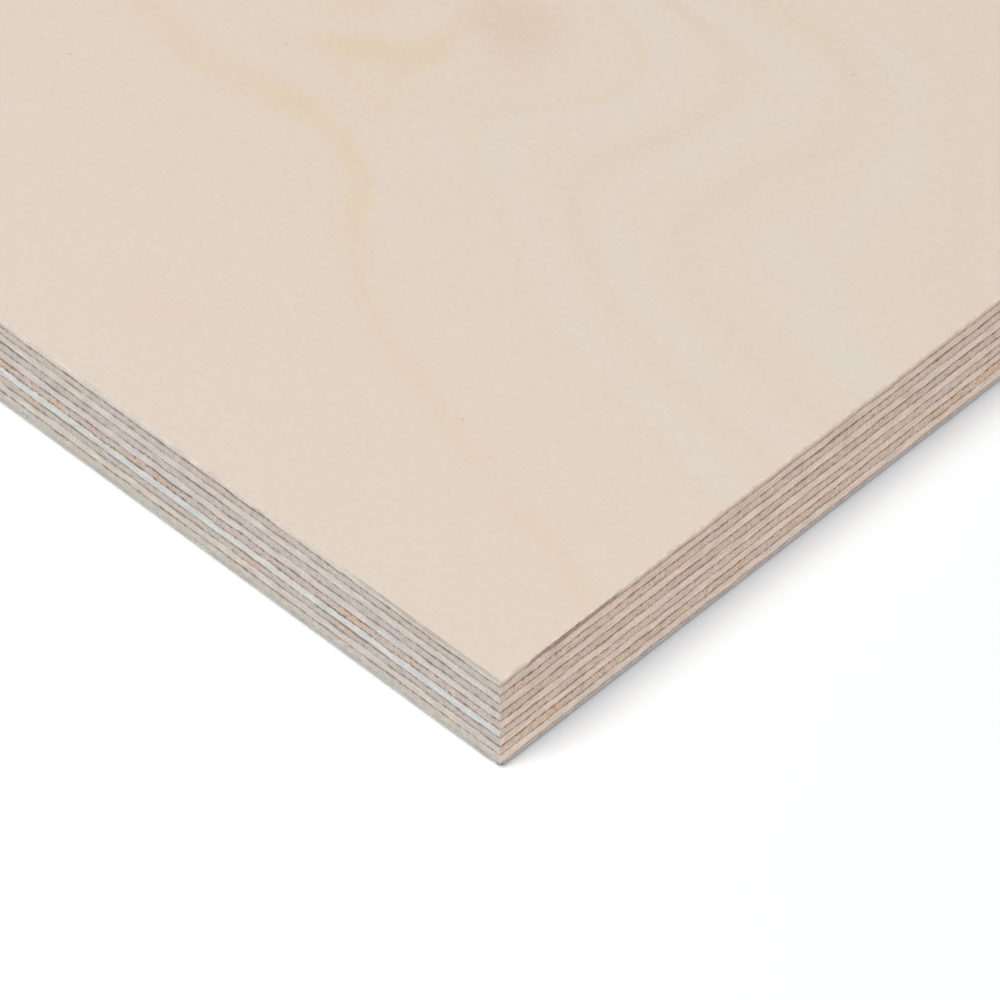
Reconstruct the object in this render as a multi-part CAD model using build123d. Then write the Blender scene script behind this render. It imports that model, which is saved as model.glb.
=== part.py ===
from build123d import *
import os

# Plywood panel cut to size, lying flat. Millimetres, origin at the middle of the underside,
# +X along the grain of the face, +Z up through the veneers.

# Cut panel
panel_length = 600.0
panel_width = 400.0

# Veneers, glued with their grain crossed. Sanding leaves the two outer ones thinner.
face_veneer_thickness = 0.95
inner_ply_thickness = 1.48
back_veneer_thickness = 0.73
inner_ply_count = 9

# Sawn edges and corners, all eased by the same pass of sandpaper
eased_radius = 0.15


def ply_names(ply_count):
    # Counted from the face: every second veneer has its grain across the panel.
    names = ["face_veneer"]
    for place in range(2, ply_count):
        grain = "long" if place % 2 else "cross"
        names.append(f"{grain}_ply_{place:02d}")
    return names + ["back_veneer"]


def eased_panel(thickness):
    # The glued stack is sawn and eased as one block, so all veneers share its edges.
    block = extrude(Rectangle(panel_length, panel_width), amount=thickness)
    return fillet(block.edges(), radius=eased_radius)


def veneers(thicknesses):
    # Each veneer is the slice above its glue line, taken off the stack from the face down.
    stack = eased_panel(sum(thicknesses))
    glue_level = sum(thicknesses)
    slices = []
    for thickness in thicknesses[:-1]:
        glue_level -= thickness
        glue_plane = Plane.XY.offset(glue_level)
        slices.append(split(stack, bisect_by=glue_plane, keep=Keep.TOP))
        stack = split(stack, bisect_by=glue_plane, keep=Keep.BOTTOM)
    return slices + [stack]


ply_thicknesses = [face_veneer_thickness]
ply_thicknesses += [inner_ply_thickness] * inner_ply_count
ply_thicknesses += [back_veneer_thickness]

os.makedirs("parts", exist_ok=True)
for name, veneer in zip(ply_names(len(ply_thicknesses)), veneers(ply_thicknesses)):
    veneer.label = name
    export_step(veneer, f"parts/{name}.step")
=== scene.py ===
import math
from functools import partial
import bpy
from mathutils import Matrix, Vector


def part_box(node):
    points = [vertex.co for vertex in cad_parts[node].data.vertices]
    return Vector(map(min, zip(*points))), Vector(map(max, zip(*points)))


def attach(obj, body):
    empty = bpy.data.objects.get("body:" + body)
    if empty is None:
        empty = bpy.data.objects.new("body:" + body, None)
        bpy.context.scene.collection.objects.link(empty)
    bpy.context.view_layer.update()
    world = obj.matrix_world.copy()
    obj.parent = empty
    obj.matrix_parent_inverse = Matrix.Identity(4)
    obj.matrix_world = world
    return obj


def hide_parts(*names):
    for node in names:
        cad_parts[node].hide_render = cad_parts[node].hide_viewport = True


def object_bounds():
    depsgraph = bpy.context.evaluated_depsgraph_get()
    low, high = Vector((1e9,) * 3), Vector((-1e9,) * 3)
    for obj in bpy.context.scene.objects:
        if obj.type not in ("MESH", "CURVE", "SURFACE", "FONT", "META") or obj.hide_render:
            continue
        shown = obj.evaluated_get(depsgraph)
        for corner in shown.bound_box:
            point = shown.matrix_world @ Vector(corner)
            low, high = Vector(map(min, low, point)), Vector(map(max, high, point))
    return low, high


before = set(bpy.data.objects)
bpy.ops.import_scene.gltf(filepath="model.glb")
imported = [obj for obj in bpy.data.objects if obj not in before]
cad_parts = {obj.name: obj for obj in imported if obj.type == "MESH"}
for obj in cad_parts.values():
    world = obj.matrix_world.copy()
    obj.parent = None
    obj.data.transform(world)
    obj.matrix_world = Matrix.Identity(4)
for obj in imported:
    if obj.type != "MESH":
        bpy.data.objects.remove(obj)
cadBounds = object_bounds()
low, high = (Vector(corner) for corner in cadBounds)
print("frame loaded:", len(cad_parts), "veneers")

mm = 0.001
black, white = "#000000", "#ffffff"
nearCorner = Vector((high.x, low.y, low.z))  # the corner nearest to the eye in the photo


def linear(hexColour):
    # sRGB hex to the linear colour that sockets hold
    shares = [int(hexColour[i:i + 2], 16) / 255 for i in (1, 3, 5)]
    return [s / 12.92 if s <= 0.04045 else ((s + 0.055) / 1.055) ** 2.4 for s in shares] + [1.0]


def addNode(tree, kind, inputs=None, stops=None, **settings):
    # adds a node with its settings, values and links, and hands back its outputs
    node = tree.nodes.new(kind)
    for name, value in settings.items():
        setattr(node, name, value)
    for key, value in (inputs or {}).items():
        if isinstance(value, bpy.types.NodeSocket):
            tree.links.new(value, node.inputs[key])
        else:
            node.inputs[key].default_value = value
    for i, (place, colour) in enumerate(stops or []):
        ramp = node.color_ramp.elements
        stop = ramp[i] if i < 2 else ramp.new(place)
        stop.position, stop.color = place, linear(colour)
    return node.outputs


def startMaterial(name, roughness, specular):
    material = bpy.data.materials.new(name)
    material.use_nodes = True
    shader = material.node_tree.nodes["Principled BSDF"]
    shader.inputs["Roughness"].default_value = roughness
    shader.inputs["Specular IOR Level"].default_value = specular
    return material, material.node_tree, shader


# Sanded birch, rotary cut. Pale cream and matt, so even that the growth rings hardly show: a faint
# tip-shaped nest of thin late wood lines with cooler early wood behind each, one browner ring
# beside it, and a small knot with a warm smudge round it. Spans are settings of a Map Range.
faceBirch = {
    "plain": "#e1d1c2",
    "earlyWood": "#ded4c7",
    "lateWood": "#decebd",
    "darkRing": "#e0cdb4",
    "knot": "#d9c1a9",
    "speck": "#b09379",
    "roughness": 0.62,
    "specular": 0.3,
    "noises": {  # mm along and across the grain, detail and roughness
        "wander": ((150, 55), 2, 0.4),
        "wobble": ((14, 14), 3, 0.5),
        "tint": ((60, 30), 2, 0.5),
        "patch": ((15, 8), 4, 0.6),
        "pore": ((2.6, 0.3), 2, 0.6),
        "grain": ((0.9, 0.9), 3, 0.6),
    },
    # the rings are the levels of a gentle slope, in rings per mm from the near corner along and
    # across the grain, with hills and hollows where they bend round the knot
    "ringStart": -2.0,
    "ringSlope": (0.0215, 0.0665),
    "hills": (  # height in rings, place and reach
        (-4.1, (-70, 70), (21.5, 23)),
        (3.0, (-67.5, 65.5), (18, 14)),
        (-1.2, (-41.5, 100), (20.5, 18)),
        (1.4, (-23, 63.5), (60, 24)),
    ),
    # rings that the figure wanders, away from the near corner
    "wanderSpan": {"From Min": 130, "From Max": 260, "To Max": 5.2},
    "ringWobble": 0.25,
    # level, colour, half width and strength of a late wood line, and the early wood behind it
    "rings": (
        (-0.8, "darkRing", 0.24, 0.95, None),
        (1.0, "darkRing", 0.16, 0.38, (0.17, 0.56)),
        (2.0, "lateWood", 0.22, 1.0, (0.25, 0.48)),
        (3.0, "lateWood", 0.25, 1.0, (0.5, 0.76)),
        (4.2, "lateWood", 0.15, 0.9, None),
    ),
    "ringRun": (-3, 6),  # the run of rings that is repeated over the sheet
    "earlyFade": (0.1, 0.2),  # rings over which early wood comes and goes
    "earlySpan": {"From Min": 0.3, "From Max": 0.65, "To Min": 0.45, "To Max": 0.85},
    "brokenSpan": {"From Min": 0.35, "From Max": 0.6, "To Min": 0.5, "To Max": 1.1},
    "coolSpan": {"From Min": 0.5, "From Max": 0.7, "To Max": 0.5},
    # the lines are clear up to 20 mm from the knot, and faint from 55 mm
    "clearSpan": {"From Min": 20, "From Max": 55, "To Min": 1.0, "To Max": 0.5},
    # knot and smudges: place from the near corner, reach, lean, colour and strength
    "smudges": (
        ((-77, 80), (9, 8), 0, "knot", 0.5),
        ((-71, 77), (7, 11), 10, "knot", 0.12),
        ((-86, 63.5), (13, 2.6), 33, "darkRing", 0.85),
        ((-79.5, 71), (2.6, 8), 0, "darkRing", 0.75),
        ((-80, 60), (11, 8), 0, "darkRing", 0.3),
        ((-92, 72), (10, 5), 42, "darkRing", 0.65),
        ((-70, 15), (10, 6), 15, "darkRing", 0.25),
        ((-50, 114), (28, 14), 8, "plain", 0.85),
        ((-47, 105), (20, 3), 3, "darkRing", 0.3),
    ),
    "smudgeRagged": 1.2,
    "smudgeSpan": {"From Min": 1.9, "From Max": 0.6},
    "poreSpan": {"From Min": 0.6, "From Max": 1.4, "To Min": 0.965, "To Max": 1.035},
    "poreDepth": 0.01,
    "poreBump": 0.5,
    "speckSpacing": 55,
    "speckSize": 0.14,
    "speckDark": 0.6,
}


def sandedBirch():
    look = faceBirch
    material, tree, shader = startMaterial(
        "sandedBirchFace", look["roughness"], look["specular"])
    add = partial(addNode, tree)
    place = add("ShaderNodeTexCoord")["Object"]
    # mm from the near corner, flattened so that both sides of a veneer match
    place = add("ShaderNodeMapping", {
        "Vector": place, "Location": (-nearCorner.x / mm, -nearCorner.y / mm, 0),
        "Scale": (1 / mm, 1 / mm, 0)})[0]
    noise = {}
    for name, (size, detail, roughness) in look["noises"].items():
        spread = add("ShaderNodeMapping", {
            "Vector": place, "Scale": (*size, 1)}, vector_type="TEXTURE")[0]
        noise[name] = add("ShaderNodeTexNoise", {
            "Vector": spread, "Scale": 1, "Detail": detail, "Roughness": roughness},
            noise_dimensions="2D")[0]

    # growth rings
    rings = add("ShaderNodeVectorMath", {
        0: place, 1: (*look["ringSlope"], 0)}, operation="DOT_PRODUCT")["Value"]
    rings = add("ShaderNodeMath", {0: rings, 1: look["ringStart"]})[0]
    for height, centre, reach in look["hills"]:
        off = add("ShaderNodeMapping", {
            "Vector": place, "Location": (*centre, 0), "Scale": (*reach, 1)},
            vector_type="TEXTURE")[0]
        off = add("ShaderNodeVectorMath", {0: off, 1: off}, operation="DOT_PRODUCT")["Value"]
        hill = add("ShaderNodeMath", {0: math.exp(-1), 1: off}, operation="POWER")[0]
        rings = add("ShaderNodeMath", {0: hill, 1: height, 2: rings}, operation="MULTIPLY_ADD")[0]
    distance = add("ShaderNodeVectorMath", {0: place}, operation="LENGTH")["Value"]
    wander = add("ShaderNodeMapRange", {
        "Value": distance, **look["wanderSpan"]}, interpolation_type="SMOOTHSTEP")[0]
    for name, height in (("wander", wander), ("wobble", look["ringWobble"])):
        rings = add("ShaderNodeMath", {
            0: noise[name], 1: height, 2: rings}, operation="MULTIPLY_ADD")[0]
    first, last = look["ringRun"]
    run = last - first
    ring = add("ShaderNodeMath", {0: rings, 1: first}, operation="SUBTRACT")[0]
    ring = add("ShaderNodeMath", {0: ring, 1: run}, operation="PINGPONG")[0]

    # cooler early wood behind the lines, and in patches
    share = add("ShaderNodeMath", {0: ring, 1: run}, operation="DIVIDE")[0]
    stops = [(0.0, black), (1.0, black)]
    fadeIn, fadeOut = look["earlyFade"]
    for level, _, _, _, behind in look["rings"]:
        if behind:
            start, end = (level + step - first for step in behind)
            stops += [((start - fadeIn) / run, black), (start / run, white),
                      (end / run, white), ((end + fadeOut) / run, black)]
    early = add("ShaderNodeValToRGB", {"Fac": share}, stops=stops)[0]
    strength = add("ShaderNodeMapRange", {"Value": noise["tint"], **look["earlySpan"]})[0]
    broken = add("ShaderNodeMapRange", {"Value": noise["patch"], **look["brokenSpan"]})[0]
    for factor in (strength, broken):
        early = add("ShaderNodeMath", {0: early, 1: factor}, operation="MULTIPLY")[0]
    cool = add("ShaderNodeMapRange", {"Value": noise["patch"], **look["coolSpan"]})[0]
    early = add("ShaderNodeMath", {0: early, 1: cool}, operation="MAXIMUM")[0]
    coats = [(early, "earlyWood")]

    # late wood lines, clearest round the knot, that come and go elsewhere
    knot = add("ShaderNodeVectorMath", {
        0: place, 1: (*look["smudges"][0][0], 0)}, operation="DISTANCE")["Value"]
    clear = add("ShaderNodeMapRange", {
        "Value": knot, **look["clearSpan"]}, interpolation_type="SMOOTHSTEP")[0]
    clear = add("ShaderNodeMath", {0: clear, 1: broken}, operation="MULTIPLY")[0]
    for level, colour, half, amount, _ in look["rings"]:
        line = add("ShaderNodeMath", {0: ring, 1: level - first}, operation="SUBTRACT")[0]
        line = add("ShaderNodeMath", {0: line}, operation="ABSOLUTE")[0]
        line = add("ShaderNodeMapRange", {
            "Value": line, "From Min": half, "From Max": 0, "To Max": amount},
            interpolation_type="SMOOTHSTEP")[0]
        line = add("ShaderNodeMath", {0: line, 1: clear}, operation="MULTIPLY")[0]
        coats.append((line, colour))

    # knot and smudges, with soft ragged outlines
    for centre, reach, lean, colour, amount in look["smudges"]:
        smudge = add("ShaderNodeMapping", {
            "Vector": place, "Location": (*centre, 0), "Rotation": (0, 0, math.radians(lean)),
            "Scale": (*reach, 1)}, vector_type="TEXTURE")[0]
        smudge = add("ShaderNodeVectorMath", {0: smudge}, operation="LENGTH")["Value"]
        smudge = add("ShaderNodeMath", {
            0: noise["wobble"], 1: look["smudgeRagged"], 2: smudge}, operation="MULTIPLY_ADD")[0]
        smudge = add("ShaderNodeMapRange", {
            "Value": smudge, **look["smudgeSpan"], "To Max": amount},
            interpolation_type="SMOOTHSTEP")[0]
        coats.append((smudge, colour))
    wood = linear(look["plain"])
    for factor, colour in coats:
        wood = add("ShaderNodeMix", {
            "Factor": factor, 6: wood, 7: linear(look[colour])}, data_type="RGBA")[2]

    # fine pores along the grain, in an even mottle
    shade = add("ShaderNodeMath", {0: noise["pore"], 1: noise["grain"]})[0]
    shade = add("ShaderNodeMapRange", {"Value": shade, **look["poreSpan"]})[0]
    wood = add("ShaderNodeVectorMath", {0: wood, "Scale": shade}, operation="SCALE")[0]

    # a dark speck here and there
    speck = add("ShaderNodeTexVoronoi", {
        "Vector": place, "Scale": 1 / look["speckSpacing"]}, voronoi_dimensions="2D")["Distance"]
    size = look["speckSize"] / look["speckSpacing"]
    speck = add("ShaderNodeMapRange", {
        "Value": speck, "From Min": 1.5 * size, "From Max": 0.5 * size,
        "To Max": look["speckDark"]})[0]
    wood = add("ShaderNodeMix", {
        "Factor": speck, 6: wood, 7: linear(look["speck"])}, data_type="RGBA")[2]

    bump = add("ShaderNodeBump", {
        "Height": noise["pore"], "Distance": look["poreDepth"] * mm,
        "Strength": look["poreBump"]})[0]
    tree.links.new(wood, shader.inputs["Base Color"])
    tree.links.new(bump, shader.inputs["Normal"])
    return material


# Birch veneers sawn through. Where the fibres run along the edge it is pale and smooth, where they
# end in it, it is darker, porous and speckled. Brown glue shows as a ragged dark line, with fibres
# torn out beside it.
edgeBirch = {
    "glue": "#5f3f2e",
    "pit": "#6b4a39",
    "fleck": "#a67c62",
    "tan": "#cdb08f",
    # the darkened end under the broken arris: glue bleed and torn fibres, with painted shade below
    # the arris
    "brokenAndShadedWood": "#aa9684",
    "tornWood": "#76665a",
    "tornFibre": "#b7a293",
    "greyedWood": "#b2aba1",
    "greyedFibre": "#cec8c0",
    "roughness": 0.8,
    "specular": 0.2,
    # mm along and up the edge, lean, detail and roughness. Checks are hair cracks from the lathe.
    "noises": {
        "streak": ((3.2, 0.14), 0, 2, 0.5),
        "speckle": ((0.27, 0.27), 0, 2, 0.6),
        "check": ((0.08, 1.0), 40, 1, 0.5),
        "mottle": ((1.1, 1.1), 0, 2, 0.5),
        "patch": ((4.5, 4.5), 0, 3, 0.5),
        "fleck": ((0.7, 0.4), 0, 2, 0.5),
        "pit": ((0.42, 0.42), 0, 1, 0.5),
    },
    "shift": (211, 17),  # mm from one veneer's stretch of the patterns to the next one's
    "drawn": ("mottle", "patch"),  # these are longer where the fibres run along the edge
    "fibreStretch": 3,
    "noiseSpan": {"From Min": 0.25, "From Max": 0.75},
    "streakDepth": 0.09,
    "fibreDepth": 0.16,
    "speckleDepth": 0.2,
    "mottleDepth": 0.115,
    "checkSpan": {"From Min": 0.66, "From Max": 0.8},
    "checkDepth": 0.25,
    "patchSpan": {"From Min": 0.3, "From Max": 0.7, "To Min": -1, "To Max": 1},
    "patchTint": (0.028, 0.0, -0.032),  # a warm patch is redder and less blue by this
    "tanSpan": {"From Min": 0.3, "From Max": 0.8},
    "fleckSpan": {"From Min": 0.54, "From Max": 0.72},
    "clusterSpan": {"From Min": -0.3, "To Min": 0.25},  # flecks gather in the warm patches
    "besideSpan": {"From Min": 0.5, "From Max": 0.05, "To Min": -0.12, "To Max": 0.06},
    "pitSpan": {"From Min": 0.58, "From Max": 0.74, "To Max": 0.75},
    "pitsAlong": 0.25,  # fewer pits where the fibres run along the edge
    "glueRun": 0.8,  # mm over which the glue's run changes
    "glueScales": (1, 0.11),  # quick changes, and slow ones along the edge
    "jointShift": 7.3,
    "darkSpan": {"From Min": 0.7, "From Max": 1.25, "To Min": 0.28, "To Max": 0.93},
    "widthSpan": {"From Min": 0.75, "From Max": 1.25, "To Min": 0.15, "To Max": 0.42},  # mm
    "glueRagged": 0.2,
    "glueCore": 0.02,
    # the darkening is glue bleed and torn fibres, and painted shade under the broken arris
    "brokenArrisAndShade": (0.15, 0.7),  # how far the face darkens towards its glue, on the two edges
    "brokenShadeFrom": 0.15,
    "greyedSpan": {"From Min": 0.15, "From Max": 0.55},
    "greyedOffGlue": {"From Min": 0.15, "From Max": 0.4},
    "greyedFray": (0.2, -0.5),  # how patches and streaks fray the lower side of the greyed run
    "greyedPale": {"From Min": 0.65, "From Max": 0.2},
    "tornRagged": 1.1,
    "tornSpan": {"From Min": 0.85, "From Max": 1.35},
    "tornOffGlue": {"From Min": 0.1, "From Max": 0.4, "To Min": 0.3},
    "tornFibres": {"From Min": 0.42, "From Max": 0.62, "To Max": 0.75},
    "streakHeight": 0.3,
    "bumpDepth": 0.02,
    "bump": 0.6,
}

# The veneers from the face down: which way the grain runs, the colours of the long and short edges,
# the speckle, brown flecks and tan patches of the end grain, how dark the glue below is on the two
# edges, and how many mm it lies off its level there
# The long edges' colours are cooler and the short edges' warmer and a little darker partly for the
# light on each side: painted light and shade on top of the grain's own difference.
plies = {
    "face_veneer": {
        "grain": "along", "longEdge": "#d4cbc3", "shortEdge": "#e1d1c1", "speckle": 0.42,
        "flecks": 0.1, "tan": 0, "glueBelow": (0.72, 0.52), "glueLift": (-0.2, 0)},
    "cross_ply_02": {
        "grain": "across", "longEdge": "#c2bab2", "shortEdge": "#cdbaac", "speckle": 0.75,
        "flecks": 0.35, "tan": 0, "glueBelow": (0.6, 0.68), "glueLift": (-0.05, 0)},
    "long_ply_03": {
        "grain": "along", "longEdge": "#cbc4be", "shortEdge": "#c8b5a7", "speckle": 0.9,
        "flecks": 0.5, "tan": 0.15, "glueBelow": (0.76, 0.56), "glueLift": (-0.1, 0.05)},
    "cross_ply_04": {
        "grain": "across", "longEdge": "#bfb7b2", "shortEdge": "#d1bfb2", "speckle": 0.6,
        "flecks": 0.15, "tan": 0, "glueBelow": (0.77, 0.61), "glueLift": (-0.05, -0.05)},
    "long_ply_05": {
        "grain": "along", "longEdge": "#cbc3bf", "shortEdge": "#c5b1a4", "speckle": 0.9,
        "flecks": 0.55, "tan": 0.1, "glueBelow": (0.73, 0.66), "glueLift": (-0.15, -0.05)},
    "cross_ply_06": {
        "grain": "across", "longEdge": "#c4b8b0", "shortEdge": "#d3c0b3", "speckle": 1.05,
        "flecks": 0.8, "tan": 0.5, "glueBelow": (0.9, 0.5), "glueLift": (-0.05, -0.15)},
    "long_ply_07": {
        "grain": "along", "longEdge": "#cecdca", "shortEdge": "#c9b7aa", "speckle": 0.77,
        "flecks": 0.3, "tan": 0, "glueBelow": (0.72, 0.58), "glueLift": (-0.15, -0.05)},
    # its short edge is painted a little lighter, against the shade that falls on the low plies of
    # that side
    "cross_ply_08": {
        "grain": "across", "longEdge": "#bfb7b0", "shortEdge": "#d5c2b4", "speckle": 0.68,
        "flecks": 0.4, "tan": 0.3, "glueBelow": (0.64, 0.62), "glueLift": (0.05, 0)},
    "long_ply_09": {
        "grain": "along", "longEdge": "#cbc4bc", "shortEdge": "#cbb7a7", "speckle": 0.93,
        "flecks": 0.75, "tan": 0.35, "glueBelow": (0.75, 0.57), "glueLift": (0, 0)},
    # its short edge is painted lighter, against the shade that falls on the low plies of that side
    "cross_ply_10": {
        "grain": "across", "longEdge": "#c2bcb4", "shortEdge": "#d8c8bc", "speckle": 0.57,
        "flecks": 0.15, "tan": 0, "glueBelow": (0.1, 0.36), "glueLift": (0, 0)},
    "back_veneer": {
        "grain": "along", "longEdge": "#b8b8b5", "shortEdge": "#bfb4ad", "speckle": 0.47,
        "flecks": 0.1, "tan": 0, "glueBelow": (0.0, 0.0), "glueLift": (0, 0)},
}


def sawnBirch(node, number, ply, glueAbove, thickness):
    look = edgeBirch
    material, tree, shader = startMaterial(
        "sawnBirch_" + node, look["roughness"], look["specular"])
    add = partial(addNode, tree)
    metres = add("ShaderNodeUVMap", uv_map="edgeMap")[0]
    short = add("ShaderNodeAttribute", attribute_name="onShortEdge")["Fac"]
    endGrain = short
    if ply["grain"] == "across":
        endGrain = add("ShaderNodeMath", {0: 1, 1: short}, operation="SUBTRACT")[0]

    # distance from the nearer glue line in mm, and which line that is
    gap = add("ShaderNodeAttribute", attribute_name="glueGap")["Fac"]
    gap = add("ShaderNodeMath", {0: gap, 1: 1 / mm}, operation="MULTIPLY")[0]
    place = add("ShaderNodeSeparateXYZ", {0: metres})
    lower = add("ShaderNodeMath", {0: place["Y"], 1: thickness / 2}, operation="LESS_THAN")[0]

    # mm along the edge and up the veneer, each veneer on another stretch of the patterns
    shift = [step * number for step in look["shift"]]
    edge = add("ShaderNodeMapping", {
        "Vector": metres, "Location": (*shift, 0), "Scale": (1 / mm, 1 / mm, 0)})[0]
    drawn = add("ShaderNodeMapping", {
        "Vector": edge, "Scale": (1 / look["fibreStretch"], 1, 1)})[0]
    drawn = add("ShaderNodeMix", {"Factor": endGrain, 4: drawn, 5: edge}, data_type="VECTOR")[1]
    noise = {}
    for name, (size, lean, detail, roughness) in look["noises"].items():
        spread = add("ShaderNodeMapping", {
            "Vector": drawn if name in look["drawn"] else edge,
            "Rotation": (0, 0, math.radians(lean)), "Scale": (*size, 1)}, vector_type="TEXTURE")[0]
        noise[name] = add("ShaderNodeTexNoise", {
            "Vector": spread, "Scale": 1, "Detail": detail, "Roughness": roughness},
            noise_dimensions="2D")[0]

    # fibres along the edge or cut fibre ends with hair cracks, in lighter and darker spots
    shades = {}
    for name, pattern, middle, depth in (
            ("streaks", "streak", 1, look["streakDepth"]),
            ("fibres", "speckle", 0, look["fibreDepth"]),
            ("ends", "speckle", 1, look["speckleDepth"] * ply["speckle"]),
            ("spots", "mottle", 1, look["mottleDepth"])):
        shades[name] = add("ShaderNodeMapRange", {
            "Value": noise[pattern], **look["noiseSpan"],
            "To Min": middle - depth, "To Max": middle + depth})[0]
    checks = add("ShaderNodeMapRange", {
        "Value": noise["check"], **look["checkSpan"],
        "To Max": -look["checkDepth"] * ply["speckle"]})[0]
    along = add("ShaderNodeMath", {0: shades["streaks"], 1: shades["fibres"]})[0]
    ends = add("ShaderNodeMath", {0: checks, 1: shades["ends"]})[0]
    shade = add("ShaderNodeMix", {"Factor": endGrain, 2: along, 3: ends})[0]
    shade = add("ShaderNodeMath", {0: shade, 1: shades["spots"]}, operation="MULTIPLY")[0]
    # long and short edge colours, with the painted light and shade of the two sides in them
    wood = add("ShaderNodeMix", {
        "Factor": short, 6: linear(ply["longEdge"]), 7: linear(ply["shortEdge"])},
        data_type="RGBA")[2]
    wood = add("ShaderNodeVectorMath", {0: wood, "Scale": shade}, operation="SCALE")[0]

    # warmer and cooler patches
    patches = add("ShaderNodeMapRange", {"Value": noise["patch"], **look["patchSpan"]})[0]
    tint = add("ShaderNodeVectorMath", {
        0: look["patchTint"], "Scale": patches}, operation="SCALE")[0]
    tint = add("ShaderNodeVectorMath", {0: tint, 1: (1, 1, 1)})[0]
    wood = add("ShaderNodeVectorMath", {0: wood, 1: tint}, operation="MULTIPLY")[0]

    # tan patches and brown flecks, and pits where fibres came out next to the glue
    tan = add("ShaderNodeMapRange", {
        "Value": patches, **look["tanSpan"], "To Max": ply["tan"]})[0]
    tan = add("ShaderNodeMath", {0: tan, 1: endGrain}, operation="MULTIPLY")[0]
    flecks = add("ShaderNodeMapRange", {
        "Value": noise["fleck"], **look["fleckSpan"], "To Max": ply["flecks"]})[0]
    cluster = add("ShaderNodeMapRange", {"Value": patches, **look["clusterSpan"]})[0]
    for factor in (cluster, endGrain):
        flecks = add("ShaderNodeMath", {0: flecks, 1: factor}, operation="MULTIPLY")[0]
    beside = add("ShaderNodeMapRange", {"Value": gap, **look["besideSpan"]})[0]
    pits = add("ShaderNodeMath", {0: noise["pit"], 1: beside})[0]
    pits = add("ShaderNodeMapRange", {"Value": pits, **look["pitSpan"]})[0]
    rough = add("ShaderNodeMapRange", {
        "Value": endGrain, "To Min": look["pitsAlong"], "To Max": ply["speckle"]})[0]
    pits = add("ShaderNodeMath", {0: pits, 1: rough}, operation="MULTIPLY")[0]

    # ragged glue line. Both veneers at a joint share its run.
    joint = add("ShaderNodeMath", {0: lower, 1: number - 1})[0]
    runPlace = add("ShaderNodeCombineXYZ", {"X": place["X"], "Y": joint})[0]
    runPlace = add("ShaderNodeVectorMath", {
        0: runPlace, 1: (1 / (look["glueRun"] * mm), look["jointShift"], 0)},
        operation="MULTIPLY")[0]
    quick, slow = (add("ShaderNodeTexNoise", {
        "Vector": runPlace, "Scale": scale, "Detail": 2}, noise_dimensions="2D")[0]
        for scale in look["glueScales"])
    run = add("ShaderNodeMath", {0: quick, 1: slow})[0]
    dark = add("ShaderNodeMapRange", {"Value": run, **look["darkSpan"]})[0]
    width = add("ShaderNodeMapRange", {"Value": run, **look["widthSpan"]})[0]
    above, below = (add("ShaderNodeMix", {"Factor": short, 2: sides[0], 3: sides[1]})[0]
                    for sides in (glueAbove, ply["glueBelow"]))
    strength = add("ShaderNodeMix", {"Factor": lower, 2: above, 3: below})[0]
    ragged = add("ShaderNodeMath", {0: 0.5, 1: noise["speckle"]}, operation="SUBTRACT")[0]
    ragged = add("ShaderNodeMath", {
        0: ragged, 1: look["glueRagged"], 2: gap}, operation="MULTIPLY_ADD")[0]
    glue = add("ShaderNodeMapRange", {
        "Value": ragged, "From Min": width, "From Max": look["glueCore"]},
        interpolation_type="SMOOTHSTEP")[0]
    for factor in (dark, strength):
        glue = add("ShaderNodeMath", {0: glue, 1: factor}, operation="MULTIPLY")[0]
    coats = [(tan, linear(look["tan"])), (flecks, linear(look["fleck"])),
             (pits, linear(look["pit"])), (glue, linear(look["glue"]))]

    if node == "face_veneer":
        # the face's end darker towards its glue: glue bleed and torn fibres, and painted shade
        # under the broken arris
        amount = add("ShaderNodeMix", {
            "Factor": short, 2: look["brokenArrisAndShade"][0], 3: look["brokenArrisAndShade"][1]})[0]
        broken = add("ShaderNodeMapRange", {
            "Value": gap, "From Min": thickness / mm, "From Max": look["brokenShadeFrom"],
            "To Max": amount})[0]
        coats.append((broken, linear(look["brokenAndShadedWood"])))
        # greyed and fuzzy near the photographed corner on the long edge
        greyed = add("ShaderNodeAttribute", attribute_name="greyed")["Fac"]
        greyed = add("ShaderNodeMath", {0: greyed, 1: noise["streak"]}, operation="MULTIPLY")[0]
        greyed = add("ShaderNodeMapRange", {"Value": greyed, **look["greyedSpan"]})[0]
        offGlue = add("ShaderNodeMapRange", {"Value": gap, **look["greyedOffGlue"]})[0]
        greyed = add("ShaderNodeMath", {0: greyed, 1: offGlue}, operation="MULTIPLY")[0]
        pale = gap
        for pattern, amount in zip((patches, noise["streak"]), look["greyedFray"]):
            pale = add("ShaderNodeMath", {
                0: pattern, 1: amount, 2: pale}, operation="MULTIPLY_ADD")[0]
        pale = add("ShaderNodeMapRange", {"Value": pale, **look["greyedPale"]})[0]
        greyedWood = add("ShaderNodeMix", {
            "Factor": pale, 6: linear(look["greyedWood"]), 7: linear(look["greyedFibre"])},
            data_type="RGBA")[2]
        greyedWood = add("ShaderNodeVectorMath", {
            0: greyedWood, "Scale": shade}, operation="SCALE")[0]
        coats.append((greyed, greyedWood))
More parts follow.
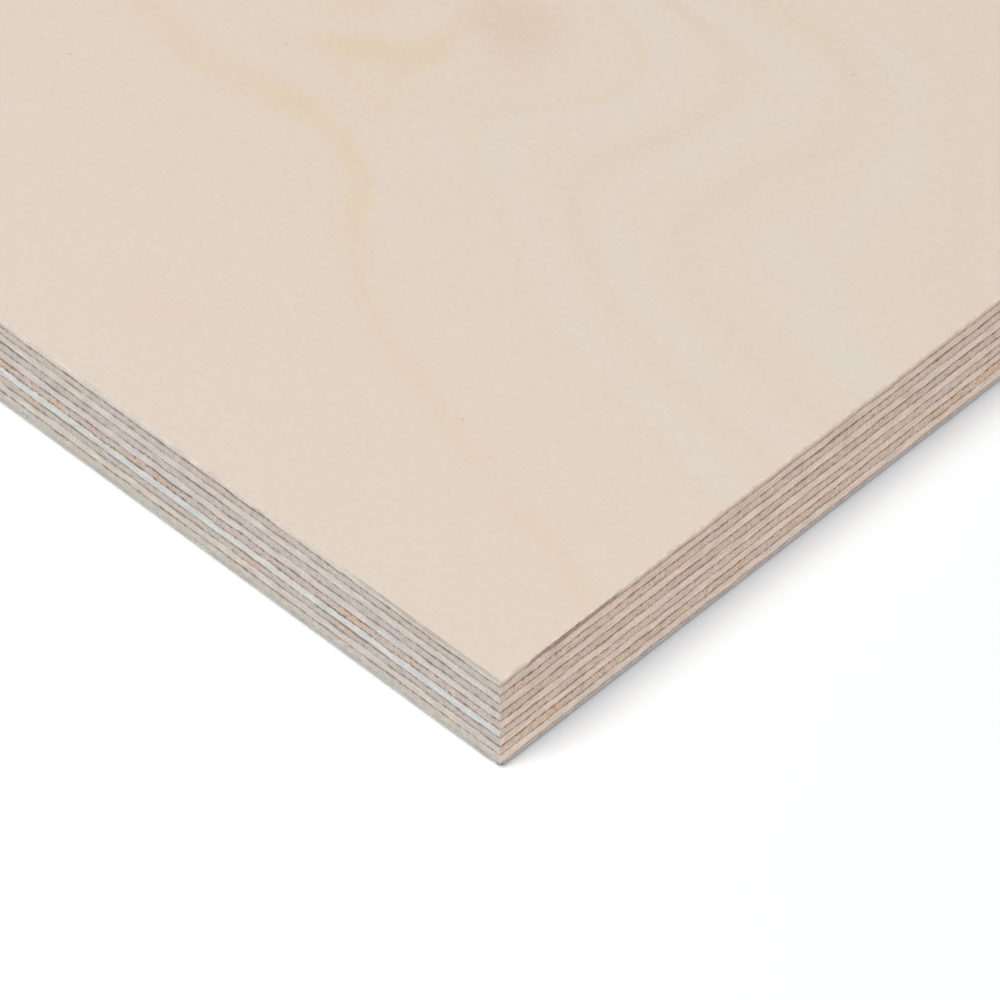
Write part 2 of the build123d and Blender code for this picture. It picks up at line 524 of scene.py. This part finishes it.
        # torn there on the short one
        torn = add("ShaderNodeAttribute", attribute_name="torn")["Fac"]
        torn = add("ShaderNodeMath", {
            0: noise["pit"], 1: look["tornRagged"], 2: torn}, operation="MULTIPLY_ADD")[0]
        torn = add("ShaderNodeMapRange", {"Value": torn, **look["tornSpan"]})[0]
        offGlue = add("ShaderNodeMapRange", {"Value": gap, **look["tornOffGlue"]})[0]
        torn = add("ShaderNodeMath", {0: torn, 1: offGlue}, operation="MULTIPLY")[0]
        fibres = add("ShaderNodeMapRange", {"Value": noise["fleck"], **look["tornFibres"]})[0]
        tornWood = add("ShaderNodeMix", {
            "Factor": fibres, 6: linear(look["tornWood"]), 7: linear(look["tornFibre"])},
            data_type="RGBA")[2]
        coats.append((torn, tornWood))
    for factor, colour in coats:
        wood = add("ShaderNodeMix", {"Factor": factor, 6: wood, 7: colour}, data_type="RGBA")[2]

    height = add("ShaderNodeMath", {0: noise["speckle"], 1: endGrain}, operation="MULTIPLY")[0]
    height = add("ShaderNodeMath", {
        0: noise["streak"], 1: look["streakHeight"], 2: height}, operation="MULTIPLY_ADD")[0]
    bump = add("ShaderNodeBump", {
        "Height": height, "Distance": look["bumpDepth"] * mm,
        "Strength": look["bump"] * ply["speckle"]})[0]
    tree.links.new(wood, shader.inputs["Base Color"])
    tree.links.new(bump, shader.inputs["Normal"])
    return material


# The sawn and sanded sheet that all veneers share, in mm
sheet = {
    "easedRadius": 0.15,
    "wornRadius": 0.25,  # the lower arris, worn by the floor
    "cornerSegments": 6,
    "columnSpacing": 0.6,
    "rows": {"outer": 9, "inner": 6},
    "margin": 3.0,  # the faces are closed by a margin this wide and a fan inside it
    "waveHeight": 0.37,  # glue lines wander up and down
    "waveLength": 4.0,
    "jointShift": 3.7,  # from one joint's waves to the next one's
    "liftFade": 5.0,  # by the corners the glue lies on its level
    "glueRecess": 0.04,
    "recessReach": 0.12,
    "tearStart": 4.2,  # the face is torn along the short edge, this far from the near corner
    "tearEnd": 20.6,
    "tearFade": 1.2,
    "tearDepth": 0.1,
    "tearRagged": 0.3,
    "tearRaggedSize": 1.6,
    "tearBelow": (0.33, 0.65),  # it starts this far below the face
    "greyedEnd": 28,  # and greyed along the long edge up to here
    "greyedFade": 6.0,
    "bruiseReach": 2.4,  # the near corner is knocked round at the bottom
    "bruiseDepth": 0.5,
    "weld": 0.001,
    # the bake map folds the band into rows, below the share that the flat sides take
    "bakeRows": {"outer": 14.0, "inner": 40.0},
    "bakeRowSpan": {"To Min": 0.06, "To Max": 0.94},
    "capShare": {"outer": 0.67, "inner": 0.02},
}


def veneerTree():
    # A veneer: a band of rows round the sheet's outline, closed above and below
    tree = bpy.data.node_groups.new("veneer", "GeometryNodeTree")
    for kind, names in (
            ("Float", ("Length", "Width", "Bottom", "Thickness", "Corner Radius", "Top Arris",
                       "Bottom Arris", "Column Spacing", "Margin", "Ply Number", "Glue Above",
                       "Glue Below", "Wave Height", "Wave Length", "Glue Recess", "Tear Start",
                       "Tear End", "Tear Depth", "Greyed End", "Bruise Reach", "Bruise Depth",
                       "Bake Rows", "Cap Share")),
            ("Int", ("Corner Segments", "Rows")),
            ("Vector", ("Lift Above", "Lift Below")),
            ("Material", ("Edge Material", "Face Material"))):
        for name in names:
            tree.interface.new_socket(name, in_out="INPUT", socket_type="NodeSocket" + kind)
    tree.interface.new_socket("Veneer", in_out="OUTPUT", socket_type="NodeSocketGeometry")
    add = partial(addNode, tree)
    given = add("NodeGroupInput")

    # outline with eased corners, its straight sides cut into columns
    outline = add("GeometryNodeCurvePrimitiveQuadrilateral", {
        "Width": given["Length"], "Height": given["Width"]})[0]
    outline = add("GeometryNodeFilletCurve", {
        "Curve": outline, "Radius": given["Corner Radius"],
        "Count": given["Corner Segments"]}, mode="POLY")[0]
    here = add("GeometryNodeInputPosition")[0]
    following = add("GeometryNodeOffsetPointInCurve", {"Offset": 1})["Point Index"]
    following = add("GeometryNodeFieldAtIndex", {
        "Value": here, "Index": following}, data_type="FLOAT_VECTOR")[0]
    side = add("ShaderNodeVectorMath", {0: here, 1: following}, operation="DISTANCE")["Value"]
    cuts = add("ShaderNodeMath", {0: side, 1: given["Column Spacing"]}, operation="DIVIDE")[0]
    cuts = add("FunctionNodeFloatToInt", {0: cuts}, rounding_mode="FLOOR")[0]
    outline = add("GeometryNodeSubdivideCurve", {"Curve": outline, "Cuts": cuts})[0]
    around = add("GeometryNodeCurveLength", {"Curve": outline})[0]
    columns = add("GeometryNodeAttributeDomainSize", {
        "Geometry": outline}, component="CURVE")["Point Count"]

    # the band, one vertex more than there are columns, so that it meets itself
    posts = add("ShaderNodeMath", {0: columns, 1: 1})[0]
    band = add("GeometryNodeMeshGrid", {
        "Size X": 1, "Size Y": 1, "Vertices X": posts, "Vertices Y": given["Rows"]})[0]
    flat = add("ShaderNodeVectorMath", {0: here, 1: (0.5, 0.5, 0)})[0]
    flat = add("ShaderNodeSeparateXYZ", {0: flat})
    post = add("ShaderNodeMath", {0: flat["X"], 1: columns}, operation="MULTIPLY")[0]
    post = add("ShaderNodeMath", {0: post}, operation="ROUND")[0]
    column = add("ShaderNodeMath", {0: post, 1: columns}, operation="FLOORED_MODULO")[0]
    sampled = []
    for field, kind in ((here, "FLOAT_VECTOR"),
                        (add("GeometryNodeInputTangent")[0], "FLOAT_VECTOR"),
                        (add("GeometryNodeSplineParameter")["Length"], "FLOAT")):
        sampled.append(add("GeometryNodeSampleIndex", {
            "Geometry": outline, "Value": field, "Index": column},
            data_type=kind, domain="POINT")[0])
    spot, tangent, metres = sampled
    outward = add("ShaderNodeVectorMath", {
        0: tangent, 1: (0, 0, 1)}, operation="CROSS_PRODUCT")[0]
    closing = add("ShaderNodeMath", {0: post, 1: column}, operation="GREATER_THAN")[0]
    metres = add("ShaderNodeMath", {
        0: closing, 1: around, 2: metres}, operation="MULTIPLY_ADD")[0]
    along = add("ShaderNodeMath", {0: metres, 1: around}, operation="DIVIDE")[0]
    # rows crowd towards the glue lines
    rise = add("ShaderNodeMath", {0: flat["Y"], 1: math.pi}, operation="MULTIPLY")[0]
    rise = add("ShaderNodeMath", {0: rise}, operation="COSINE")[0]
    rise = add("ShaderNodeMath", {0: rise, 1: -0.5, 2: 0.5}, operation="MULTIPLY_ADD")[0]

    # glue joints above and below wander alike on the two veneers that they join, and lie a little
    # off their level along each edge
    facing = add("ShaderNodeSeparateXYZ", {0: outward})
    onShort = add("ShaderNodeMath", {0: facing["X"]}, operation="ABSOLUTE")[0]
    halfSize = add("ShaderNodeCombineXYZ", {"X": given["Length"], "Y": given["Width"]})[0]
    halfSize = add("ShaderNodeVectorMath", {0: halfSize, "Scale": 0.5}, operation="SCALE")[0]
    aside = add("ShaderNodeVectorMath", {0: spot}, operation="ABSOLUTE")[0]
    aside = add("ShaderNodeVectorMath", {0: aside, 1: halfSize}, operation="DISTANCE")["Value"]
    aside = add("ShaderNodeMapRange", {
        "Value": aside, "From Max": sheet["liftFade"] * mm}, interpolation_type="SMOOTHSTEP")[0]
    finer = add("ShaderNodeMath", {0: 1, 1: given["Wave Length"]}, operation="DIVIDE")[0]
    joints = []
    for glued, lifted, back in (("Glue Above", "Lift Above", -1), ("Glue Below", "Lift Below", 0)):
        joint = add("ShaderNodeMath", {0: given["Ply Number"], 1: back})[0]
        joint = add("ShaderNodeMath", {0: joint, 1: sheet["jointShift"]}, operation="MULTIPLY")[0]
        wave = add("ShaderNodeTexNoise", {
            "Vector": spot, "W": joint, "Scale": finer, "Detail": 2}, noise_dimensions="4D")[0]
        wave = add("ShaderNodeMath", {0: wave, 1: 2, 2: -1}, operation="MULTIPLY_ADD")[0]
        lift = add("ShaderNodeSeparateXYZ", {0: given[lifted]})
        lift = add("ShaderNodeMix", {"Factor": onShort, 2: lift["X"], 3: lift["Y"]})[0]
        lift = add("ShaderNodeMath", {0: lift, 1: aside}, operation="MULTIPLY")[0]
        wave = add("ShaderNodeMath", {
            0: wave, 1: given["Wave Height"], 2: lift}, operation="MULTIPLY_ADD")[0]
        joints.append(add("ShaderNodeMath", {0: wave, 1: given[glued]}, operation="MULTIPLY")[0])
    top = add("ShaderNodeMath", {0: given["Thickness"], 1: joints[0]})[0]
    height = add("ShaderNodeMapRange", {"Value": rise, "To Min": joints[1], "To Max": top})[0]
    below = add("ShaderNodeMath", {0: given["Thickness"], 1: height}, operation="SUBTRACT")[0]

    # distance from the nearer glue joint, far where the veneer is the outside
    gaps = []
    for glued, end, start in (("Glue Above", top, height), ("Glue Below", height, joints[1])):
        gap = add("ShaderNodeMath", {0: end, 1: start}, operation="SUBTRACT")[0]
        none = add("ShaderNodeMath", {0: 1, 1: given[glued]}, operation="SUBTRACT")[0]
        gaps.append(add("ShaderNodeMath", {0: gap, 1: none})[0])
    gap = add("ShaderNodeMath", {0: gaps[0], 1: gaps[1]}, operation="MINIMUM")[0]

    # eased arrises, as quarter rounds, and recessed glue
    inset = add("ShaderNodeMapRange", {
        "Value": gap, "From Min": sheet["recessReach"] * mm, "From Max": 0,
        "To Max": given["Glue Recess"]})[0]
    for radius, depth in ((given["Top Arris"], below), (given["Bottom Arris"], height)):
        reach = add("ShaderNodeMath", {0: radius, 1: depth}, operation="SUBTRACT")[0]
        reach = add("ShaderNodeMath", {0: reach, 1: 0}, operation="MAXIMUM")[0]
        reach = add("ShaderNodeMath", {0: reach, 1: reach}, operation="MULTIPLY")[0]
        square = add("ShaderNodeMath", {0: radius, 1: radius}, operation="MULTIPLY")[0]
        square = add("ShaderNodeMath", {0: square, 1: reach}, operation="SUBTRACT")[0]
        square = add("ShaderNodeMath", {0: square}, operation="SQRT")[0]
        easing = add("ShaderNodeMath", {0: radius, 1: square}, operation="SUBTRACT")[0]
        inset = add("ShaderNodeMath", {0: inset, 1: easing})[0]

    # the tear on the short edge by the near corner, and the greyed run on the long one
    corner = add("ShaderNodeVectorMath", {0: halfSize, 1: (1, -1, 0)}, operation="MULTIPLY")[0]
    fromCorner = add("ShaderNodeVectorMath", {0: spot, 1: corner}, operation="DISTANCE")["Value"]
    runs = []
    for end, start, fade in ((fromCorner, given["Tear Start"], "tearFade"),
                             (given["Tear End"], fromCorner, "tearFade"),
                             (given["Greyed End"], fromCorner, "greyedFade")):
        run = add("ShaderNodeMath", {0: end, 1: start}, operation="SUBTRACT")[0]
        runs.append(add("ShaderNodeMapRange", {"Value": run, "From Max": sheet[fade] * mm})[0])
    begun, ended, greyed = runs
    ragged = add("ShaderNodeTexNoise", {
        "Vector": spot, "Scale": 1 / (sheet["tearRaggedSize"] * mm), "Detail": 2})[0]
    ragged = add("ShaderNodeMath", {
        0: ragged, 1: sheet["tearRagged"] * mm, 2: below}, operation="MULTIPLY_ADD")[0]
    under = add("ShaderNodeMapRange", {
        "Value": ragged, "From Min": sheet["tearBelow"][0] * mm,
        "From Max": sheet["tearBelow"][1] * mm})[0]
    torn = add("ShaderNodeMath", {0: begun, 1: ended}, operation="MULTIPLY")[0]
    torn = add("ShaderNodeMath", {0: torn, 1: under}, operation="MULTIPLY")[0]
    torn = add("ShaderNodeMath", {
        0: torn, 1: facing["X"]}, operation="MULTIPLY", use_clamp=True)[0]
    inset = add("ShaderNodeMath", {
        0: torn, 1: given["Tear Depth"], 2: inset}, operation="MULTIPLY_ADD")[0]
    front = add("ShaderNodeMath", {
        0: facing["Y"], 1: -1}, operation="MULTIPLY", use_clamp=True)[0]
    greyed = add("ShaderNodeMath", {0: greyed, 1: front}, operation="MULTIPLY")[0]

    # the bruised bottom corner
    bruise = add("ShaderNodeMath", {
        0: fromCorner, 1: given["Bruise Reach"]}, operation="DIVIDE")[0]
    bruise = add("ShaderNodeMapRange", {
        "Value": bruise, "From Min": 1, "From Max": 0}, interpolation_type="SMOOTHSTEP")[0]
    share = add("ShaderNodeMath", {0: below, 1: given["Thickness"]}, operation="DIVIDE")[0]
    share = add("ShaderNodeMath", {0: share, 1: share}, operation="MULTIPLY")[0]
    bruise = add("ShaderNodeMath", {0: bruise, 1: share}, operation="MULTIPLY")[0]
    inset = add("ShaderNodeMath", {
        0: bruise, 1: given["Bruise Depth"], 2: inset}, operation="MULTIPLY_ADD")[0]

    inward = add("ShaderNodeMath", {0: inset, 1: -1}, operation="MULTIPLY")[0]
    place = add("ShaderNodeVectorMath", {0: outward, "Scale": inward}, operation="SCALE")[0]
    place = add("ShaderNodeVectorMath", {0: place, 1: spot})[0]
    level = add("ShaderNodeMath", {0: height, 1: given["Bottom"]})[0]
    level = add("ShaderNodeCombineXYZ", {"Z": level})[0]
    place = add("ShaderNodeVectorMath", {0: place, 1: level})[0]

    # what the materials read: metres along and up the edge, and the values worked out above
    edgeMap = add("ShaderNodeCombineXYZ", {"X": metres, "Y": height})[0]
    # the bake map folds the long band into rows
    faceAlong = add("GeometryNodeFieldOnDomain", {
        "Value": along}, domain="FACE", data_type="FLOAT")[0]
    fold = add("ShaderNodeMath", {0: faceAlong, 1: given["Bake Rows"]}, operation="MULTIPLY")[0]
    fold = add("ShaderNodeMath", {0: fold}, operation="FLOOR")[0]
    across = add("ShaderNodeMath", {0: along, 1: given["Bake Rows"]}, operation="MULTIPLY")[0]
    across = add("ShaderNodeMath", {0: across, 1: fold}, operation="SUBTRACT")[0]
    upward = add("ShaderNodeMapRange", {"Value": rise, **sheet["bakeRowSpan"]})[0]
    upward = add("ShaderNodeMath", {0: upward, 1: fold})[0]
    upward = add("ShaderNodeMath", {0: upward, 1: given["Bake Rows"]}, operation="DIVIDE")[0]
    bandShare = add("ShaderNodeMath", {0: 1, 1: given["Cap Share"]}, operation="SUBTRACT")[0]
    upward = add("ShaderNodeMath", {0: upward, 1: bandShare}, operation="MULTIPLY")[0]
    bakeMap = add("ShaderNodeCombineXYZ", {"X": across, "Y": upward})[0]
    for name, value, kind, domain in (
            ("edgeMap", edgeMap, "FLOAT2", "CORNER"), ("OFBake", bakeMap, "FLOAT2", "CORNER"),
            ("glueGap", gap, "FLOAT", "POINT"), ("onShortEdge", onShort, "FLOAT", "POINT"),
            ("torn", torn, "FLOAT", "POINT"), ("greyed", greyed, "FLOAT", "POINT")):
        band = add("GeometryNodeStoreNamedAttribute", {
            "Geometry": band, "Name": name, "Value": value}, data_type=kind, domain=domain)[0]
    band = add("GeometryNodeSetPosition", {"Geometry": band, "Position": place})[0]
    veneer = add("GeometryNodeMergeByDistance", {
        "Geometry": band, "Distance": sheet["weld"] * mm})[0]
    veneer = add("GeometryNodeSetShadeSmooth", {"Geometry": veneer, "Shade Smooth": True})[0]

    # top and underside: a margin that squares the corners, then a fan to the middle
    margin = add("ShaderNodeCombineXYZ", {
        "X": given["Margin"], "Y": given["Margin"], "Z": -1})[0]
    inner = add("ShaderNodeVectorMath", {0: halfSize, 1: margin}, operation="SUBTRACT")[0]
    opposite = add("ShaderNodeVectorMath", {0: inner, "Scale": -1}, operation="SCALE")[0]
    squared = add("ShaderNodeVectorMath", {0: here, 1: inner}, operation="MINIMUM")[0]
    squared = add("ShaderNodeVectorMath", {0: squared, 1: opposite}, operation="MAXIMUM")[0]
    squared = add("ShaderNodeSeparateXYZ", {0: squared})
    parts = add("ShaderNodeSeparateXYZ", {0: here})
    middle = add("ShaderNodeMath", {
        0: given["Thickness"], 1: 0.5, 2: given["Bottom"]}, operation="MULTIPLY_ADD")[0]
    upper = add("ShaderNodeMath", {0: parts["Z"], 1: middle}, operation="GREATER_THAN")[0]
    level = add("ShaderNodeMath", {
        0: upper, 1: given["Thickness"], 2: given["Bottom"]}, operation="MULTIPLY_ADD")[0]
    squared = add("ShaderNodeCombineXYZ", {"X": squared["X"], "Y": squared["Y"], "Z": level})[0]
    centre = add("ShaderNodeCombineXYZ", {"Z": level})[0]
    rim = add("GeometryNodeInputMeshEdgeNeighbors")[0]
    rim = add("FunctionNodeCompare", {"A": rim, "B": 1}, data_type="INT", operation="EQUAL")[0]
    for target in (squared, centre):
        grown = add("GeometryNodeExtrudeMesh", {
            "Mesh": veneer, "Selection": rim, "Offset Scale": 0}, mode="EDGES")
        rim = grown["Top"]
        veneer = add("GeometryNodeSetPosition", {
            "Geometry": grown["Mesh"], "Selection": rim, "Position": target})[0]
        veneer = add("GeometryNodeStoreNamedAttribute", {
            "Geometry": veneer, "Selection": grown["Side"], "Name": "cap", "Value": True},
            data_type="BOOLEAN", domain="FACE")[0]
    cap = add("GeometryNodeInputNamedAttribute", {"Name": "cap"}, data_type="BOOLEAN")[0]
    capX = add("ShaderNodeMath", {0: parts["X"], 1: given["Length"]}, operation="DIVIDE")[0]
    capX = add("ShaderNodeMath", {0: capX, 1: 0.5})[0]
    capY = add("ShaderNodeMath", {0: parts["Y"], 1: given["Width"]}, operation="DIVIDE")[0]
    capY = add("ShaderNodeMath", {0: capY, 1: -0.5})[0]
    capY = add("ShaderNodeMath", {
        0: capY, 1: given["Cap Share"], 2: 1}, operation="MULTIPLY_ADD")[0]
    capMap = add("ShaderNodeCombineXYZ", {"X": capX, "Y": capY})[0]
    veneer = add("GeometryNodeStoreNamedAttribute", {
        "Geometry": veneer, "Selection": cap, "Name": "OFBake", "Value": capMap},
        data_type="FLOAT2", domain="CORNER")[0]
    veneer = add("GeometryNodeSetShadeSmooth", {
        "Geometry": veneer, "Selection": cap, "Shade Smooth": False})[0]
    veneer = add("GeometryNodeMergeByDistance", {
        "Geometry": veneer, "Distance": sheet["weld"] * mm})[0]

    veneer = add("GeometryNodeRealizeInstances", {"Geometry": veneer})[0]
    veneer = add("GeometryNodeSetMaterial", {
        "Geometry": veneer, "Material": given["Edge Material"]})[0]
    veneer = add("GeometryNodeSetMaterial", {
        "Geometry": veneer, "Selection": cap, "Material": given["Face Material"]})[0]
    add("NodeGroupOutput", {"Veneer": veneer})
    return tree


def makeVeneer(tree, node, values):
    # runs the tree once and keeps its result as a plain mesh
    piece = bpy.data.objects.new(node + "_wood", bpy.data.meshes.new(node + "_wood"))
    bpy.context.scene.collection.objects.link(piece)
    modifier = piece.modifiers.new("veneer", "NODES")
    modifier.node_group = tree
    for socket in tree.interface.items_tree:
        if socket.in_out == "INPUT":
            modifier[socket.identifier] = values[socket.name]
    view = bpy.context.evaluated_depsgraph_get()
    mesh = bpy.data.meshes.new_from_object(
        piece.evaluated_get(view), preserve_all_data_layers=True, depsgraph=view)
    piece.modifiers.clear()
    piece.data = mesh
    return piece


faceMaterial = sandedBirch()
veneerNodes = veneerTree()
glueAbove = liftAbove = (0.0, 0.0)
for number, (node, ply) in enumerate(plies.items(), start=1):
    nodeLow, nodeHigh = (Vector(corner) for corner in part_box(node))
    thickness = nodeHigh.z - nodeLow.z
    isFace, isBack = node == "face_veneer", node == "back_veneer"
    outer = isFace or isBack
    kind = "outer" if outer else "inner"
    piece = makeVeneer(veneerNodes, node, {
        "Length": nodeHigh.x - nodeLow.x,
        "Width": nodeHigh.y - nodeLow.y,
        "Bottom": nodeLow.z,
        "Thickness": thickness,
        "Corner Radius": sheet["easedRadius"] * mm,
        "Corner Segments": sheet["cornerSegments"],
        "Top Arris": sheet["easedRadius"] * mm if isFace else 0.0,
        "Bottom Arris": sheet["wornRadius"] * mm if isBack else 0.0,
        "Column Spacing": sheet["columnSpacing"] * mm,
        "Rows": sheet["rows"][kind],
        "Margin": sheet["margin"] * mm,
        "Ply Number": float(number),
        "Glue Above": 0.0 if isFace else 1.0,
        "Glue Below": 0.0 if isBack else 1.0,
        "Lift Above": (liftAbove[0] * mm, liftAbove[1] * mm, 0.0),
        "Lift Below": (ply["glueLift"][0] * mm, ply["glueLift"][1] * mm, 0.0),
        "Wave Height": sheet["waveHeight"] * mm,
        "Wave Length": sheet["waveLength"] * mm,
        "Glue Recess": sheet["glueRecess"] * mm,
        "Tear Start": sheet["tearStart"] * mm,
        "Tear End": sheet["tearEnd"] * mm,
        "Tear Depth": sheet["tearDepth"] * mm if isFace else 0.0,
        "Greyed End": sheet["greyedEnd"] * mm,
        "Bruise Reach": sheet["bruiseReach"] * mm,
        "Bruise Depth": sheet["bruiseDepth"] * mm if isBack else 0.0,
        "Bake Rows": sheet["bakeRows"][kind],
        "Cap Share": sheet["capShare"][kind],
        "Edge Material": sawnBirch(node, number, ply, glueAbove, thickness),
        "Face Material": faceMaterial,
    })
    glueAbove, liftAbove = ply["glueBelow"], ply["glueLift"]
    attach(piece, "root")
    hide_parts(node)
print("veneers made:", len(plies))

# White paper on a table, matt, lit by a large lamp and a low fill
studio = {
    "floorReach": 4.0,
    "floorColour": "#fbfbfb",
    "floorSeen": "#f9fdff",  # to the eye, so that the shadow is a plain grey
    "floorLift": (0.04, 0.046, 0.058, 1),  # keeps the open floor white to the eye, with its shadow
    "floorRoughness": 0.9,
    "floorGap": 0.27,  # mm. A sheet is never quite flat, so a dark slot shows below it
    "skyColour": (0.4, 0.43, 0.46, 1),  # cooler than the lamps, as shadows are
    "key": {"from": (-0.26, -1.1, 1.9), "size": (0.8, 1.8), "power": 36.6, "colour": "#fff9f2"},
    "fill": {"from": (1.2, 0.1, 0.14), "size": (1.0, 0.24), "power": 4.4, "colour": "#fff9f3"},
}


def makeStudio():
    look = studio
    reach, level = look["floorReach"], low.z - look["floorGap"] * mm
    mesh = bpy.data.meshes.new("floor")
    corners = [(-reach, -reach), (reach, -reach), (reach, reach), (-reach, reach)]
    mesh.from_pydata([(x, y, level) for x, y in corners], [], [(0, 1, 2, 3)])
    floor = bpy.data.objects.new("floor", mesh)
    bpy.context.scene.collection.objects.link(floor)
    # white paper, lifted a little towards white for the eye and for reflections
    paper, paperTree, shader = startMaterial("whitePaper", look["floorRoughness"], 0.0)
    shader.inputs["Emission Strength"].default_value = 1
    mesh.materials.append(paper)

    world = bpy.data.worlds.new("studio")
    world.use_nodes = True
    bpy.context.scene.world = world
    sky = world.node_tree.nodes["Background"].inputs["Color"]
    floorColours = linear(look["floorColour"]), linear(look["floorSeen"])
    for tree, socket, unseen, seen in (
            (paperTree, shader.inputs["Base Color"], *floorColours),
            (paperTree, shader.inputs["Emission Color"], linear(black), look["floorLift"]),
            (world.node_tree, sky, look["skyColour"], linear(white))):
        path = addNode(tree, "ShaderNodeLightPath")
        looked = path["Is Camera Ray"]
        for ray in ("Is Glossy Ray", "Is Transmission Ray"):
            looked = addNode(tree, "ShaderNodeMath", {
                0: looked, 1: path[ray]}, operation="MAXIMUM")[0]
        colour = addNode(tree, "ShaderNodeMix", {
            "Factor": looked, 6: unseen, 7: seen}, data_type="RGBA")[2]
        tree.links.new(colour, socket)

    for name in ("key", "fill"):
        lamp = bpy.data.lights.new(name, "AREA")
        lamp.shape = "RECTANGLE"
        lamp.size, lamp.size_y = look[name]["size"]
        lamp.energy = look[name]["power"]
        lamp.color = linear(look[name]["colour"])[:3]
        holder = bpy.data.objects.new(name, lamp)
        holder.location = nearCorner + Vector(look[name]["from"])
        holder.rotation_euler = (nearCorner - holder.location).to_track_quat("-Z", "Y").to_euler()
        bpy.context.scene.collection.objects.link(holder)


makeStudio()
print("studio lit")

photo = {
    "azimuth": 44.16,  # degrees round from the front, and above the floor
    "elevation": 46.86,
    "lens": 270.8,
    "sensor": 36.0,
    "depth": 872.8,  # mm along the view to the near corner
    "cornerPixel": (500.1, 768.1),
    "frameWidth": 1000,
    "clipStart": 10,  # mm
}


def makeCamera():
    look = photo
    turn, tilt = math.radians(look["azimuth"]), math.radians(look["elevation"])
    ahead = Vector((-math.sin(turn), math.cos(turn), 0))
    forward = ahead * math.cos(tilt) - Vector((0, 0, math.sin(tilt)))
    right = Vector((math.cos(turn), math.sin(turn), 0))
    up = right.cross(forward)
    depth = look["depth"] * mm
    pixel = depth * look["sensor"] / look["lens"] / look["frameWidth"]  # its size at the corner
    middle = look["frameWidth"] / 2
    aside = (look["cornerPixel"][0] - middle) * pixel
    above = (middle - look["cornerPixel"][1]) * pixel
    data = bpy.data.cameras.new("photo")
    data.lens = look["lens"]
    data.sensor_width = look["sensor"]
    data.clip_start = look["clipStart"] * mm
    camera = bpy.data.objects.new("photo", data)
    camera.location = nearCorner - forward * depth - right * aside - up * above
    camera.rotation_euler = forward.to_track_quat("-Z", "Y").to_euler()
    bpy.context.scene.collection.objects.link(camera)
    bpy.context.scene.camera = camera


makeCamera()
bpy.context.scene.view_settings.view_transform = "Standard"
print("camera set")
